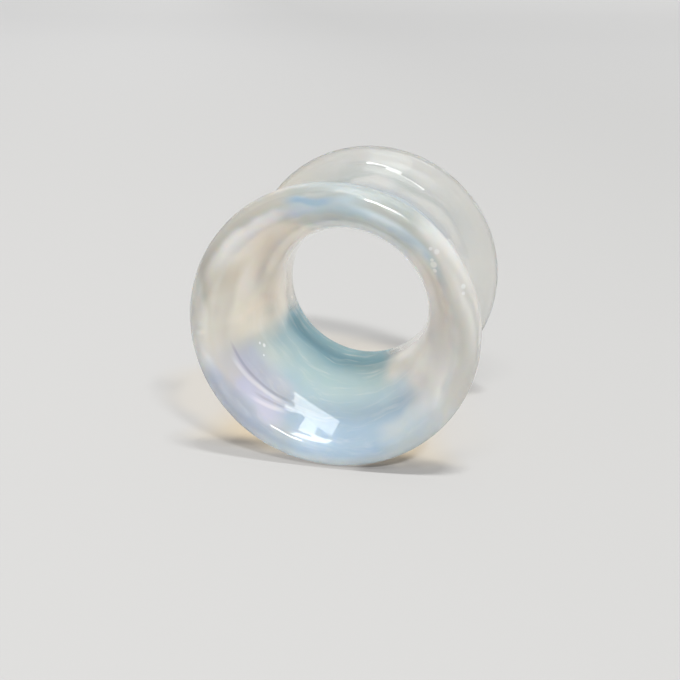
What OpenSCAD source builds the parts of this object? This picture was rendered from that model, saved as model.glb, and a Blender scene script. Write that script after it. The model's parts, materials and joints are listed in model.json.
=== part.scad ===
// Double-flared glass ear tunnel: one piece of glass, lying on its two rims.
// The hole runs along Y, the front flare is on the -Y side, and Z = 0 is the surface that it lies on.

/* [Flares] */
// Diameter across the rim of each flare
flare_d = 14; // [13:0.1:16]
// Distance along the hole between the widest circles of the two rims
rim_spacing = 10; // [8:0.1:14]

/* [Throat] */
// Diameter of the hole through the neck
bore_d = 7.9; // [7:0.1:8.4]
// Length of the straight part of the hole
bore_len = 2; // [1:0.1:3]
// How far behind the middle between the rims the neck's own middle lies
neck_back = 1; // [0:0.1:1.5]

/* [Glass] */
// Thickness of the wall, the same from lip to lip
wall_t = 1.5; // [1:0.05:1.7]

/* [Rest] */
// How far each rim is levelled where it touches the surface, so that it lies still
rest_flat = 0.07; // [0.05:0.01:0.3]

/* [Hidden] */
$fn = 240;

// The profile is drawn in the plane of the radius and the place along the hole: a strip of
// even thickness with round ends, straight at the neck and bent outwards to each lip.
// The two faces of a bend share one centre, so every arc meets the next at a tangent.
flare_r = flare_d / 2;
bore_r = bore_d / 2;
neck_r = bore_r + wall_t;
lip_r = wall_t / 2;
bend_y = bore_len / 2;
rim_y = rim_spacing / 2;
bend_rise = flare_r - neck_r;

// Sector of a ring between the neck and the lip's centre; the bend turns by this angle.
module bend(centre, angle, mid_r) {
    reach = 2 * (mid_r + lip_r);
    intersection() {
        difference() {
            translate(centre) circle(r = mid_r + lip_r);
            translate(centre) circle(r = mid_r - lip_r);
        }
        polygon([
            centre,
            centre - [reach, 0],
            centre + reach * [-cos(angle / 2), sin(angle / 2)],
            centre + reach * [-cos(angle), sin(angle)]
        ]);
    }
}

// One flare, drawn from the middle of the neck: straight part, bend and round lip.
// lip_y is how far the lip's centre lies from the middle of the neck.
module flare_section(lip_y) {
    run = lip_y - bend_y;
    angle = 2 * atan2(bend_rise, run);
    mid_r = run / sin(angle);
    translate([bore_r, -bend_y]) square([wall_t, bore_len]);
    bend([bore_r + lip_r + mid_r, bend_y], angle, mid_r);
    translate([flare_r - lip_r, lip_y]) circle(r = lip_r);
}

// Both flares in one profile, with the middle between the rims at y = 0.
module tunnel_section() {
    translate([0, -neck_back]) {
        flare_section(rim_y + neck_back);
        mirror([0, 1]) flare_section(rim_y - neck_back);
    }
}

module glass_tunnel() {
    color([0.80, 0.86, 0.88])
        difference() {
            translate([0, 0, flare_r - rest_flat])
                rotate([90, 0, 0])
                    rotate_extrude() tunnel_section();
            translate([0, 0, -flare_r])
                cube([flare_d, 2 * rim_spacing, flare_d], center = true);
        }
}

glass_tunnel();
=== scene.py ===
import json
import math

import bpy
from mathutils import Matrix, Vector, noise


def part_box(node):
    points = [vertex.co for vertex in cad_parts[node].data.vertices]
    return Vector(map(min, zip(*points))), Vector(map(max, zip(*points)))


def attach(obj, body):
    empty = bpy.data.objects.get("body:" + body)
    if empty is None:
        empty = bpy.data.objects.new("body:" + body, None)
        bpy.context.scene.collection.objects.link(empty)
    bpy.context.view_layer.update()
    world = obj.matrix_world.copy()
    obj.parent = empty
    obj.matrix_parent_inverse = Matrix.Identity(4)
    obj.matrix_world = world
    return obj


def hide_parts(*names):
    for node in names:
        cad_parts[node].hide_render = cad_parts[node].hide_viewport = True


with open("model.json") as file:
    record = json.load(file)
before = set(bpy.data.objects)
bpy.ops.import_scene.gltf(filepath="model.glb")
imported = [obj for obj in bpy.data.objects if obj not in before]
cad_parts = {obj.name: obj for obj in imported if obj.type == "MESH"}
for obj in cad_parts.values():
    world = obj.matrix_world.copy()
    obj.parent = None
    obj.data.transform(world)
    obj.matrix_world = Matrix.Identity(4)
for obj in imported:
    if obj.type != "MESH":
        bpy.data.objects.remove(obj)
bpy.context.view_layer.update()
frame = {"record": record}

MM = 0.001
NODE = "glass_tunnel"

# Sizes of the glass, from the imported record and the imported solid's own box
record = frame["record"]
hole = next(m for m in record["mounts"] if m["name"] == "through_hole")
groove = next(m for m in record["mounts"] if m["name"] == "lobe_seat")
low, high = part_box(NODE)
FLARE_R = (high.x - low.x) / 2
HALF_LENGTH = (high.y - low.y) / 2
BORE_R = hole["dims"]["r_mm"] * MM
BORE_HALF = hole["dims"]["length_mm"] * MM / 2
WALL = groove["dims"]["r_mm"] * MM - BORE_R
LIP_R = WALL / 2
RIM_Y = HALF_LENGTH - LIP_R
NECK_Y = hole["pos_m"][1]
CENTRE = Vector((0, 0, hole["pos_m"][2]))

# Steps of the mesh round the hole and along the section
ROUND_STEPS = 420
BORE_STEPS = 6
MOUTH_STEPS = 40
GROOVE_STEPS = 16
LIP_STEPS = 20

# Tool marks in the front mouth: crest y at 106 degrees below, its drift over 10 degrees, width
# towards the hole, width towards the lip, height (all in mm), and the angles round the hole at
# which each mark starts, is full, begins to fade and ends
TOOL_MARKS = (
    (-4.10, -0.03, 0.25, 0.14, 0.040, -172, -150, -124, -112),
    (-4.80, -0.05, 0.30, 0.16, 0.040, -150, -136, -122, -108),
)
TOOL_MARK_ANGLE = 106
# Slow unevenness of the hand-made surface: height in mm, and its scale round the hole and along it
WAVES = 0.02
WAVES_ROUND, WAVES_ALONG = 1.6, 0.45
# In mm: the relief fades over the first before the lip. It starts at the second from the neck's
# middle and is full at twice that.
LIP_FADE, NECK_FADE = 0.8, 1.0

# The photo's camera, fitted to the outlines of both rims
VIEW_AZIMUTH = math.radians(12.5)
VIEW_ELEVATION = math.radians(20.16)
VIEW_DISTANCE = 52.0 * MM
VIEW_RIGHT = -0.70 * MM
VIEW_UP = -2.16 * MM
FOCAL_PX = 1009.0
PICTURE_PX = 680.0
SENSOR_MM = 36.0
CLIP_NEAR, CLIP_FAR = 0.001, 20


def rgb(r, g, b):
    """Linear colour from 0-255 values as a picture has them."""
    scaled = [v / 255 for v in (r, g, b)]
    return tuple(v / 12.92 if v < 0.04045 else ((v + 0.055) / 1.055) ** 2.4 for v in scaled) + (1.0,)


# Colours of the glass
CLEAR_WHITE, CLEAR_GREY = rgb(246, 246, 242), rgb(234, 234, 230)
CREAM, PEACH = rgb(238, 234, 221), rgb(236, 229, 214)
POOL_BLUE, SKY_BLUE, DEEP_BLUE = rgb(174, 202, 226), rgb(200, 221, 232), rgb(164, 200, 228)
LAVENDER, GREY_GREEN, TEAL = rgb(208, 211, 231), rgb(176, 206, 216), rgb(106, 154, 178)
PALE_RIM, LEFT_RIM, RIGHT_RIM = rgb(222, 230, 232), rgb(218, 215, 205), rgb(230, 229, 223)
TOP_SHADE, STREAK_AND_PAINTED_LIGHT, FOOT_BLUE = rgb(190, 199, 197), rgb(252, 252, 252), rgb(174, 187, 198)
EDGE_SHADE, SPECK, CREST = rgb(226, 229, 228), rgb(140, 140, 128), rgb(184, 189, 182)
CREASE_SHADE, CREASE_HIGHLIGHT = rgb(128, 134, 146), rgb(250, 251, 255)
WHITE = (1, 1, 1, 1)

# Zones of colour, painted one over the other. The tints are the opal glass's own, but they are painted
# where the light makes them show, so most zones are partly painted light and shade: blue where light
# scattered in the milky glass shows against the shade under it, cream and peach where light shines
# through, white and pale tones where light is painted on, and grey, teal and darker blue where shade is
# painted. Each has a tone, a strength, a direction round the hole (degrees from +X towards +Z, full
# within, gone beyond) and limits. A limit is a coordinate in mm with the value at which the zone is gone
# and the one from which it is full. The coordinates are y along the hole, radius from its axis (both
# wavy), even (the radius without waves) and past (how far the place lies outside the throat).
MILK_ZONES = (
    # painted shade: the top of the back flare darkened to grey
    (TOP_SHADE, 1.0, (75, 40, 62), (("radius", 5.2, 5.5), ("y", 4.6, 3.2))),
    (CREAM, 1.0, (180, 20, 80), (("y", -5.7, -4.9),)),
    (PEACH, 1.0, (172, 20, 40), (("y", -4.2, -2.6),)),
    (PEACH, 0.5, (4, 22, 50), (("y", -5.2, -4.4), ("y", -0.5, -3.0))),
    # painted light: blue of light scattered in the bottom of the front mouth, over the shade beneath it
    (POOL_BLUE, 1.0, (-90, 38, 60), (("y", -1.2, -3.0),)),
    (PALE_RIM, 0.8, (-38, 14, 30), (("y", -4.5, -5.3),)),
    (FOOT_BLUE, 0.9, (-136, 22, 34), (("even", 5.3, 5.7),)),
    # painted light: the bottom lip lifted to pale where it shows the shade under it
    (PALE_RIM, 0.7, (-86, 34, 54), (("even", 6.15, 6.6), ("y", -3.0, -4.5))),
    (LAVENDER, 1.0, (-142, 12, 30), (("y", -2.6, -3.6), ("y", -5.8, -5.2))),
    (GREY_GREEN, 1.0, (-112, 40, 62), (("y", -3.8, -1.4), ("y", 5.2, 3.4))),
)
# painted shade: the bottom of the throat, seen through the hole, darkened to teal
THROAT = (1.0, (-112, 44, 58), (("y", -1.4, 1.0), ("y", 5.6, 4.4), ("past", 0.4, 0.0)))
# painted light: blue of light scattered along the long path through the top of the mouth, and a deeper
# blue band on the front lip's inner edge painted for the light the lip bends
TOP_ZONES = (
    (SKY_BLUE, 1.0, (73, 24, 46), (("y", 3.4, 0.8), ("radius", 6.75, 6.25))),
    (DEEP_BLUE, 1.0, (98, 3, 13), (("radius", 6.12, 6.32), ("radius", 6.65, 6.4), ("y", -3.0, -4.5))),
)
RIM_ZONES = (
    # painted shade: grey on the crest of the front lip at the upper right
    (CREST, 1.0, (42, 26, 38), (("even", 6.1, 6.4), ("y", -3.0, -4.2))),
    # white painted light on the inside of the mouth at the right and at the upper left, where the lamps
    # leave it dark
    (STREAK_AND_PAINTED_LIGHT, 1.0, (4, 30, 46), (("y", -2.0, -3.2), ("radius", 5.9, 5.6))),
    (STREAK_AND_PAINTED_LIGHT, 0.9, (140, 18, 36), (("y", 0.0, -1.5), ("radius", 6.2, 5.8))),
    (LEFT_RIM, 1.0, (178, 20, 36), (("y", -4.3, -5.0), ("radius", 6.4, 6.0))),
    (LEFT_RIM, 1.0, (136, 20, 34), (("y", -4.0, -4.8), ("radius", 5.8, 6.2))),
    (RIGHT_RIM, 1.0, (10, 34, 50), (("radius", 5.85, 6.3), ("y", -3.8, -4.8))),
)
# Where the milk is denser, and where the crest of the front lip is duller
DENSE_ZONES = (
    (1.0, (142, 24, 42), (("y", 0.6, -0.8),)),
    (0.45, (10, 30, 48), (("y", -1.0, -2.4),)),
)
DULL_CRESTS = (
    (1.0, (76, 44, 62), (("y", -4.0, -4.6), ("even", 6.67, 6.74))),
    (1.0, (42, 14, 24), (("y", -4.0, -4.6), ("even", 6.05, 6.2))),
    (1.0, (-120, 9, 18), (("even", 5.72, 5.86),)),
)
# Painted glints: small white spots standing for bubbles at the surface catching light; direction in
# degrees, y, radius and size in mm
PAINTED_GLINTS = (
    (37.5, -5.70, 6.02, 0.20), (35, -5.66, 5.90, 0.13), (39.5, -5.70, 6.10, 0.11),
    (41, -5.72, 6.50, 0.15), (43.5, -5.74, 6.38, 0.10), (24, -5.60, 6.70, 0.14),
    (21.5, -5.66, 6.60, 0.10), (-167, 2.10, 4.00, 0.14), (-155, -2.90, 4.40, 0.14),
    (-158, -3.12, 4.45, 0.10), (-150, -3.25, 4.50, 0.08),
)
# A dark speck in the throat: direction in degrees, y, radius, size in mm
PIT = (135, -1.0, 4.0, 0.16)
# Lines drawn beside the tool marks, a dark line of painted shade and a white line of painted highlight
# along each crease:
# degrees and y at the start, degrees and y at the end, half width in mm, strength, tone
LINES = (
    (-168, -4.74, -116, -4.10, 0.11, 0.42, CREASE_SHADE),
    (-160, -4.90, -122, -4.36, 0.15, 0.75, CREASE_HIGHLIGHT),
    (-138, -4.92, -113, -4.45, 0.09, 0.36, CREASE_SHADE),
    (-138, -5.18, -118, -4.74, 0.14, 0.60, CREASE_HIGHLIGHT),
)

# How the glass passes, spreads and mirrors light
MILKY_TRANSMISSION, CLEAR_TRANSMISSION = 0.66, 0.93
DENSE_LOSS = 0.34
MILKY_ROUGHNESS, CLEAR_ROUGHNESS = 0.22, 0.03
GLASS_IOR, COAT_IOR = 1.5, 2.0
COAT_ROUGHNESS = 0.02
SCATTER_RADIUS, SCATTER_MM = (1.0, 0.8, 0.6), 1.2
# Tints of the light that goes through the glass to the floor
WARM_TINT = (1.03, 0.915, 0.735, 1)
LIP_TINT = (0.12, 0.115, 0.11, 1)
FOOT_TINT = (0.50, 0.49, 0.48, 1)
FOOT = (1.0, (-136, 50, 60), ())  # where the lips have the foot's tint

# The floor, and its colours at the left and at the right: near the object, behind it and far behind it,
# and on the camera's side under the lamps, where the light is strongest. The colours paint the light's
# fall on the paper: lighter at the left than at the right, brighter far behind where the lamps' light has
# weakened, and darker under the lamps.
FLOOR_SIZE = 3.0
FLOOR_ROUGHNESS = 0.9
NEAR_LEFT, NEAR_RIGHT = (0.487, 0.483, 0.475, 1), (0.438, 0.436, 0.428, 1)
BACK_LEFT, BACK_RIGHT = (0.545, 0.543, 0.538, 1), (0.482, 0.480, 0.475, 1)
FAR_LEFT, FAR_RIGHT = (0.937, 0.934, 0.925, 1), (0.829, 0.826, 0.817, 1)
UNDER_LAMPS = (0.20, 0.198, 0.195, 1)

# The background's brightness at the horizon and how much it gains overhead; what diffuse rays
# see of it is less, and what the camera sees directly is more
SKY_COLOUR = (0.97, 0.98, 1.0, 1)
SKY_LOW, SKY_GAIN = 0.46, 0.10
SKY_ON_DIFFUSE, SKY_ON_CAMERA = -0.68, 0.5

# Softboxes overhead: name, x and y over the height, length and width over the height, watts.
# The strips light and throw shadows and aren't seen in the glass.
LAMP_HEIGHT = 2.0
STRIPS = (
    ("strip_right", 0.57, -0.80, 0.20, 0.12, 70),
    ("strip_top", 0.16, -0.13, 0.26, 0.07, 33),
    ("strip_near", 0.0, -0.56, 0.36, 0.12, 10),
)
# The windows only make reflections. They also have a turn in degrees, and whether they are seen
# through the milky wall.
WINDOWS = (
    ("window_high", 0.16, 0.21, 0.84, 0.23, 5.5, 16, True),
    ("window_join", 0.10, 0.03, 0.20, 0.20, 1.3, 8, True),
    ("window_low", 0.02, -0.33, 0.44, 0.52, 11, 8, True),
    ("window_rim", 0.32, -0.95, 0.50, 0.14, 13, 0, False),
)


def smooth(t):
    t = min(1.0, max(0.0, t))
    return t * t * (3 - 2 * t)


def flare_section(side):
    """Points (radius, y, tilt) from the neck to the lip and back; tilt is set on the mouth's face."""
    lip_y = RIM_Y - side * NECK_Y
    run = lip_y - BORE_HALF
    angle = 2 * math.atan2(FLARE_R - BORE_R - WALL, run)
    mid_r = run / math.sin(angle)
    centre_r = BORE_R + LIP_R + mid_r
    points = []
    for i in range(MOUTH_STEPS + 1):
        turn = angle * i / MOUTH_STEPS
        r = mid_r + LIP_R
        points.append((centre_r - r * math.cos(turn), BORE_HALF + r * math.sin(turn), turn * side))
    for i in range(1, LIP_STEPS):
        turn = angle + math.pi * i / LIP_STEPS
        points.append((FLARE_R - LIP_R - LIP_R * math.cos(turn), lip_y + LIP_R * math.sin(turn), None))
    for i in range(GROOVE_STEPS + 1):
        turn = angle * (1 - i / GROOVE_STEPS)
        r = mid_r - LIP_R
        points.append((centre_r - r * math.cos(turn), BORE_HALF + r * math.sin(turn), None))
    return [(r, NECK_Y + side * y, tilt) for r, y, tilt in points]


def section():
    """The wall's outline as a list of (radius, y, tilt)."""
    shares = [2 * i / BORE_STEPS - 1 for i in range(1, BORE_STEPS)]
    neck = [(BORE_R + WALL, NECK_Y - BORE_HALF * share, None) for share in shares]
    bore = [(BORE_R, NECK_Y + BORE_HALF * share, 0.0) for share in shares]
    return flare_section(1) + neck + flare_section(-1)[::-1] + bore


def relief(turn, r, y):
    """How far the mouth's surface stands out towards the hole, in metres; turn in radians."""
    degrees, y_mm = math.degrees(turn), y / MM
    rise = 0.0
    for crest, drift, inner, outer, height, start, full, fading, end in TOOL_MARKS:
        fade = min(smooth((degrees - start) / (full - start)), smooth((end - degrees) / (end - fading)))
        off = y_mm - crest - drift * (degrees + TOOL_MARK_ANGLE) / 10
        rise += height * fade * math.exp(-((off / (inner if off > 0 else outer)) ** 2))
    place = (math.cos(turn) * WAVES_ROUND, math.sin(turn) * WAVES_ROUND, y_mm * WAVES_ALONG)
    slow = noise.noise(Vector(place))
    from_lip = (FLARE_R - LIP_R - r) / (LIP_FADE * MM)
    from_neck = (abs(y - NECK_Y) / MM - NECK_FADE) / NECK_FADE
    return (rise + WAVES * slow) * smooth(from_lip) * smooth(from_neck) * MM


def tunnel_mesh():
    """The whole glass as one closed skin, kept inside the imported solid's box."""
    outline = section()
    count = len(outline)
    vertices = []
    for k in range(ROUND_STEPS):
        turn = 2 * math.pi * k / ROUND_STEPS - math.pi
        for r, y, tilt in outline:
            out = 0.0 if tilt is None else relief(turn, r, y)
            r -= out * math.cos(tilt or 0.0)
            y += out * math.sin(tilt or 0.0)
            at = (r * math.cos(turn), y, CENTRE.z + r * math.sin(turn))
            vertices.append([min(b, max(a, v)) for v, a, b in zip(at, low, high)])
    faces = []
    for k in range(ROUND_STEPS):
        here, nxt = k * count, (k + 1) % ROUND_STEPS * count
        for i in range(count):
            j = (i + 1) % count
            faces.append((here + i, nxt + i, nxt + j, here + j))
    mesh = bpy.data.meshes.new("tunnel_glass")
    mesh.from_pydata(vertices, [], faces)
    mesh.validate()
    mesh.polygons.foreach_set("use_smooth", [True] * len(mesh.polygons))
    mesh.update()
    return mesh


class Graph:
    """Short calls for building a node tree."""

    def __init__(self, tree):
        self.tree = tree

    def put(self, socket, value):
        if isinstance(value, bpy.types.NodeSocket):
            self.tree.links.new(value, socket)
        else:
            socket.default_value = value

    def node(self, kind, **settings):
        node = self.tree.nodes.new(kind)
        for name, value in settings.items():
            setattr(node, name, value)
        return node

    def math(self, operation, *values):
        node = self.node("ShaderNodeMath", operation=operation)
        for socket, value in zip(node.inputs, values):
            self.put(socket, value)
        return node.outputs[0]

    def product(self, first, *others):
        for other in others:
            first = self.math("MULTIPLY", first, other)
        return first

    def highest(self, first, *others):
        for other in others:
            first = self.math("MAXIMUM", first, other)
        return first

    def vector(self, operation, *values):
        node = self.node("ShaderNodeVectorMath", operation=operation)
        for socket, value in zip(node.inputs, values):
            self.put(socket, value)
        return node.outputs["Value" if operation in ("DOT_PRODUCT", "LENGTH", "DISTANCE") else "Vector"]

    def scaled(self, vector, factor):
        node = self.node("ShaderNodeVectorMath", operation="SCALE")
        self.put(node.inputs[0], vector)
        self.put(node.inputs["Scale"], factor)
        return node.outputs["Vector"]

    def ramp(self, value, start, end):
        """0 below start, 1 above end and smooth between them; start may be the larger."""
        node = self.node("ShaderNodeMapRange", interpolation_type="SMOOTHSTEP")
        names = ("Value", "From Min", "From Max", "To Min", "To Max")
        for name, setting in zip(names, (value, start, end, 0, 1)):
            self.put(node.inputs[name], setting)
        return node.outputs[0]

    def blend(self, factor, a, b):
        node = self.node("ShaderNodeMix", data_type="RGBA")
        self.put(node.inputs[0], factor)
        self.put(node.inputs[6], a)
        self.put(node.inputs[7], b)
        return node.outputs[2]

    def noise(self, vector, scale, detail=2.0):
        node = self.node("ShaderNodeTexNoise")
        self.put(node.inputs["Vector"], vector)
        self.put(node.inputs["Scale"], scale)
        self.put(node.inputs["Detail"], detail)
        return node.outputs

    def split(self, vector):
        node = self.node("ShaderNodeSeparateXYZ")
        self.put(node.inputs[0], vector)
        return node.outputs

    def join(self, *values):
        node = self.node("ShaderNodeCombineXYZ")
        for socket, value in zip(node.inputs, values):
            self.put(socket, value)
        return node.outputs[0]


def on_circle(degrees, y, radius):
    """A place round the hole, in mm from its middle."""
    t = math.radians(degrees)
    return (radius * math.cos(t), y, radius * math.sin(t))


def glass_material():
    mat = bpy.data.materials.new("opal_glass")
    mat.use_nodes = True
    g = Graph(mat.node_tree)
    shader = mat.node_tree.nodes["Principled BSDF"]

    # Millimetres from the middle of the hole, bent a little so that no zone has a ruled edge
    place = g.node("ShaderNodeTexCoord").outputs["Object"]
    place = g.vector("SUBTRACT", g.scaled(place, 1 / MM), tuple(CENTRE / MM))
    drift = g.vector("SUBTRACT", g.noise(place, 0.28)["Color"], (0.5, 0.5, 0.5))
    bent = g.vector("ADD", place, g.scaled(drift, 2.2))
    along = g.split(bent)
    straight = g.split(place)
    y = along["Y"]
    flat = g.vector("MULTIPLY", bent, (1, 0, 1))
    around = g.vector("NORMALIZE", flat)
    radius = g.vector("LENGTH", flat)
    even = g.vector("LENGTH", g.vector("MULTIPLY", place, (1, 0, 1)))
    throat_r = g.math("MULTIPLY_ADD", g.ramp(y, 2.0, 6.0), 1.9, 4.7)
    coordinates = {"y": y, "radius": radius, "even": even, "past": g.math("SUBTRACT", radius, throat_r)}

    def zone(strength, direction, limits):
        """How strongly a zone of the tables above covers each place."""
        degrees, full, gone = direction
        dot = g.vector("DOT_PRODUCT", around, on_circle(degrees, 0, 1))
        facing = g.ramp(dot, math.cos(math.radians(gone)), math.cos(math.radians(full)))
        ramps = [g.ramp(coordinates[name], start, end) for name, start, end in limits]
        return g.product(facing, *ramps, strength)

    def painted(colour, zones):
        for tone, *where in zones:
            colour = g.blend(zone(*where), colour, tone)
        return colour

    colour = g.blend(g.ramp(y, -1.0, 2.0), CLEAR_WHITE, CLEAR_GREY)
    # Painted light and shade of the opal glass, zone by zone
    colour = painted(colour, MILK_ZONES)
    # The throat is painted dark teal as painted shade
    throat = zone(*THROAT)
    colour = g.blend(throat, colour, TEAL)
    colour = painted(colour, TOP_ZONES)

    # Fine streaks round the hole, as left by the turning of the soft glass
    angle = g.math("ARCTAN2", along["Z"], along["X"])
    lane = g.join(g.product(angle, 1.3), g.product(y, 2.6), g.product(radius, 1.5))
    streak = g.noise(lane, 1.0, 3.0)["Fac"]
    colour = g.blend(g.product(g.ramp(streak, 0.50, 0.76), 0.25), colour, STREAK_AND_PAINTED_LIGHT)
    # Painted light and shade on the rims, over the glass's own rim tones
    colour = painted(colour, RIM_ZONES)

    # Painted glints: white spots
    glint = 0.0
    for *where, size in PAINTED_GLINTS:
        distance = g.vector("DISTANCE", place, on_circle(*where))
        glint = g.highest(glint, g.ramp(distance, size, size / 2))
    colour = g.blend(glint, colour, WHITE)
    *where, size = PIT
    colour = g.blend(g.ramp(g.vector("DISTANCE", place, on_circle(*where)), size, size / 2), colour, SPECK)

    # Lines beside the tool marks, painted shade and painted highlight along the creases, which fade over
    # 10 degrees at each end and stop before the lip
    degrees = g.math("DEGREES", g.math("ARCTAN2", straight["Z"], straight["X"]))
    before_lip = g.ramp(even, 5.95, 5.75)
    for start, start_y, end, end_y, width, strength, tone in LINES:
        slope = (end_y - start_y) / (end - start)
        at = g.math("MULTIPLY_ADD", g.math("SUBTRACT", degrees, start), slope, start_y)
        off = g.math("ABSOLUTE", g.math("SUBTRACT", straight["Y"], at))
        ends = g.product(g.ramp(degrees, start - 3, start + 7), g.ramp(degrees, end + 3, end - 7))
        line = g.product(g.ramp(off, width, width / 5), ends, before_lip, strength)
        colour = g.blend(line, colour, tone)

    # The outermost line of the back flare: painted shade, a grey line along its edge
    edge = g.product(g.ramp(even, 6.88, 6.96), g.ramp(y, 2.0, 3.0))
    colour = g.blend(edge, colour, EDGE_SHADE)
    g.put(shader.inputs["Base Color"], colour)

    # Milky at the front and clear at the back, a little clearer at the left, denser in some places
    left = g.vector("DOT_PRODUCT", around, (-0.94, 0, 0.34))
    clearer = g.product(g.ramp(left, 0.35, 0.85), 0.3)
    milky = g.product(g.ramp(y, 2.4, 0.2), g.math("SUBTRACT", 1.0, clearer))
    milky = g.highest(milky, glint, throat)
    dense = g.highest(*[zone(*where) for where in DENSE_ZONES])
    dense = g.product(dense, g.ramp(radius, 6.15, 5.5))
    passed = g.math("MULTIPLY_ADD", milky, MILKY_TRANSMISSION - CLEAR_TRANSMISSION, CLEAR_TRANSMISSION)
    g.put(shader.inputs["Transmission Weight"], g.math("MULTIPLY_ADD", dense, -DENSE_LOSS, passed))

    # The back flare is polished only in a band; elsewhere its surface is duller
    slant = g.vector("DOT_PRODUCT", place, (0.103, 0, 0))
    off_band = g.math("ABSOLUTE", g.math("SUBTRACT", g.math("ADD", even, slant), 6.235))
    dull = g.product(g.ramp(y, 2.2, 3.0), g.ramp(off_band, 0.05, 0.10))
    crest = g.highest(*[zone(*where) for where in DULL_CRESTS])
    matt = g.highest(g.product(dull, 0.9), g.product(throat, 0.8), g.product(crest, 0.85))
    g.put(shader.inputs["Coat Weight"], g.math("SUBTRACT", 1.0, matt))
    rough = g.math("MULTIPLY_ADD", milky, MILKY_ROUGHNESS - CLEAR_ROUGHNESS, CLEAR_ROUGHNESS)
    g.put(shader.inputs["Roughness"], g.highest(rough, g.product(dull, 0.25)))

    shader.inputs["Subsurface Weight"].default_value = 1.0
    shader.inputs["Subsurface Radius"].default_value = SCATTER_RADIUS
    shader.inputs["Subsurface Scale"].default_value = SCATTER_MM * MM
    shader.inputs["IOR"].default_value = GLASS_IOR
    shader.inputs["Specular IOR Level"].default_value = 0.0
    shader.inputs["Coat Roughness"].default_value = COAT_ROUGHNESS
    shader.inputs["Coat IOR"].default_value = COAT_IOR

    surface = let_light_through(g, shader, y, zone(*FOOT))
    g.put(mat.node_tree.nodes["Material Output"].inputs["Surface"], surface)
    return mat


def let_light_through(g, shader, y, foot):
    """Direct light goes straight through the glass, so that its inside is lit. On its way in it is
    dimmed at the round lips and warmed elsewhere, which makes the dark and the warm parts of the
    shadow. Mirrored rays go through it too, so that the coat's reflections stay crisp."""
    lip = g.ramp(g.math("ABSOLUTE", y), 4.0, 5.2)
    shade = g.blend(lip, WARM_TINT, g.blend(foot, LIP_TINT, FOOT_TINT))
    behind = g.node("ShaderNodeNewGeometry").outputs["Backfacing"]
    rays = g.node("ShaderNodeLightPath").outputs
    clear = g.node("ShaderNodeBsdfTransparent")
    g.put(clear.inputs["Color"], g.blend(g.highest(behind, rays["Is Glossy Ray"]), shade, WHITE))
    light_ray = g.highest(rays["Is Shadow Ray"], rays["Is Diffuse Ray"])
    passed = g.math("MINIMUM", rays["Transparent Depth"], 1.0)
    mirrored = g.product(rays["Is Glossy Ray"], g.highest(g.math("SUBTRACT", 1.0, behind), passed))
    mix = g.node("ShaderNodeMixShader")
    g.put(mix.inputs[0], g.highest(light_ray, mirrored))
    g.put(mix.inputs[1], shader.outputs[0])
    g.put(mix.inputs[2], clear.outputs[0])
    return mix.outputs[0]


def floor_material():
    """Pale paper with painted light, lighter at the left, brighter far off and darker under the lamps; its
    coordinates are metres from the object.
    """
    mat = bpy.data.materials.new("paper")
    mat.use_nodes = True
    g = Graph(mat.node_tree)
    shader = mat.node_tree.nodes["Principled BSDF"]
    place = g.node("ShaderNodeTexCoord").outputs["Object"]
    behind = g.split(place)["Y"]
    right = g.ramp(g.vector("DOT_PRODUCT", place, (0.8, 0.3, 0)), -0.03, 0.06)
    near = g.blend(right, NEAR_LEFT, NEAR_RIGHT)
    back = g.blend(right, BACK_LEFT, BACK_RIGHT)
    far = g.blend(right, FAR_LEFT, FAR_RIGHT)
    colour = g.blend(g.ramp(behind, 0.03, 0.30), near, back)
    colour = g.blend(g.ramp(behind, 0.20, 1.20), colour, far)
    colour = g.blend(g.ramp(behind, -0.25, -1.40), colour, UNDER_LAMPS)
    g.put(shader.inputs["Base Color"], colour)
    shader.inputs["Roughness"].default_value = FLOOR_ROUGHNESS
    return mat


def add_floor():
    s = FLOOR_SIZE
    mesh = bpy.data.meshes.new("floor")
    mesh.from_pydata([(-s, -s, 0), (s, -s, 0), (s, s, 0), (-s, s, 0)], [], [(0, 1, 2, 3)])
    obj = bpy.data.objects.new("floor", mesh)
    bpy.context.scene.collection.objects.link(obj)
    mesh.materials.append(floor_material())


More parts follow.
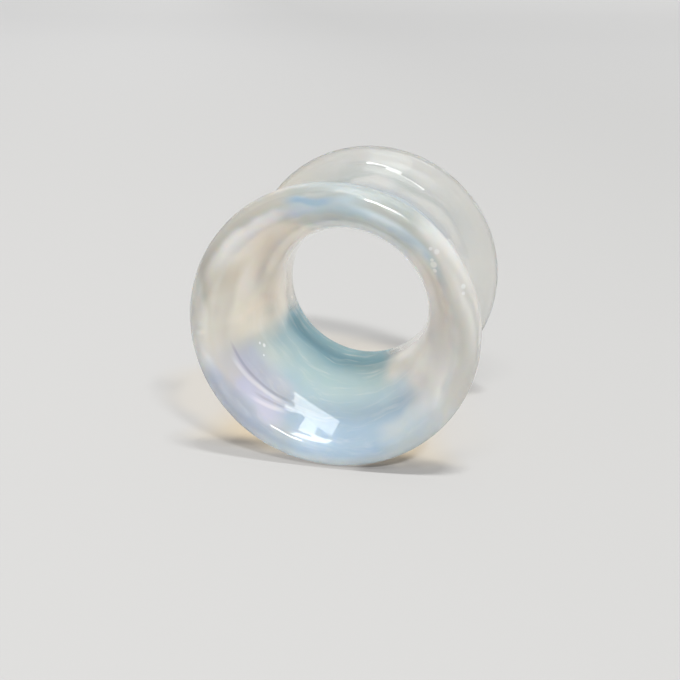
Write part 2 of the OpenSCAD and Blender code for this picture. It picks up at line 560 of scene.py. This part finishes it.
def add_camera():
    a, e = VIEW_AZIMUTH, VIEW_ELEVATION
    forward = Vector((-math.sin(a) * math.cos(e), math.cos(a) * math.cos(e), -math.sin(e)))
    right = Vector((math.cos(a), math.sin(a), 0))
    up = right.cross(forward)
    data = bpy.data.cameras.new("camera")
    data.sensor_width = SENSOR_MM
    data.lens = FOCAL_PX / PICTURE_PX * SENSOR_MM
    data.clip_start, data.clip_end = CLIP_NEAR, CLIP_FAR
    camera = bpy.data.objects.new("camera", data)
    camera.location = CENTRE - forward * VIEW_DISTANCE + right * VIEW_RIGHT + up * VIEW_UP
    camera.rotation_mode = "QUATERNION"
    camera.rotation_quaternion = forward.to_track_quat("-Z", "Y")
    bpy.context.scene.collection.objects.link(camera)
    bpy.context.scene.camera = camera


def add_world():
    world = bpy.data.worlds.new("studio")
    bpy.context.scene.world = world
    world.use_nodes = True
    g = Graph(world.node_tree)
    back = world.node_tree.nodes["Background"]
    back.inputs["Color"].default_value = SKY_COLOUR
    height = g.split(g.node("ShaderNodeTexCoord").outputs["Generated"])["Z"]
    sky = g.math("MULTIPLY_ADD", g.ramp(height, 0.0, 0.7), SKY_GAIN, SKY_LOW)
    rays = g.node("ShaderNodeLightPath").outputs
    share = g.math("MULTIPLY_ADD", rays["Is Diffuse Ray"], SKY_ON_DIFFUSE, 1.0)
    share = g.math("MULTIPLY_ADD", rays["Is Camera Ray"], SKY_ON_CAMERA, share)
    g.put(back.inputs["Strength"], g.product(sky, share))


def add_softbox(name, x, y, length, width, watts, turn=0, seen=False, through=False):
    """A softbox that points straight down. A seen one only makes reflections, the others only light."""
    data = bpy.data.lights.new(name, "AREA")
    data.shape = "RECTANGLE"
    data.size, data.size_y = length * LAMP_HEIGHT, width * LAMP_HEIGHT
    data.energy = watts
    light = bpy.data.objects.new(name, data)
    light.location = CENTRE + Vector((x, y, 1)) * LAMP_HEIGHT
    light.rotation_euler = (0, 0, math.radians(turn))
    light.visible_glossy = seen
    light.visible_diffuse = not seen
    light.visible_transmission = through
    bpy.context.scene.collection.objects.link(light)


scene = bpy.context.scene
scene.view_settings.view_transform = "Standard"
scene.cycles.caustics_reflective = False
scene.cycles.transmission_bounces = 16
scene.cycles.max_bounces = 24
scene.cycles.diffuse_bounces = 4
scene.cycles.glossy_bounces = 8

add_camera()
add_floor()
add_world()
for lamp in STRIPS:
    add_softbox(*lamp)
for *lamp, through in WINDOWS:
    add_softbox(*lamp, seen=True, through=through)

tunnel = bpy.data.objects.new("tunnel", tunnel_mesh())
scene.collection.objects.link(tunnel)
tunnel.data.materials.append(glass_material())
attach(tunnel, "root")
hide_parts(NODE)
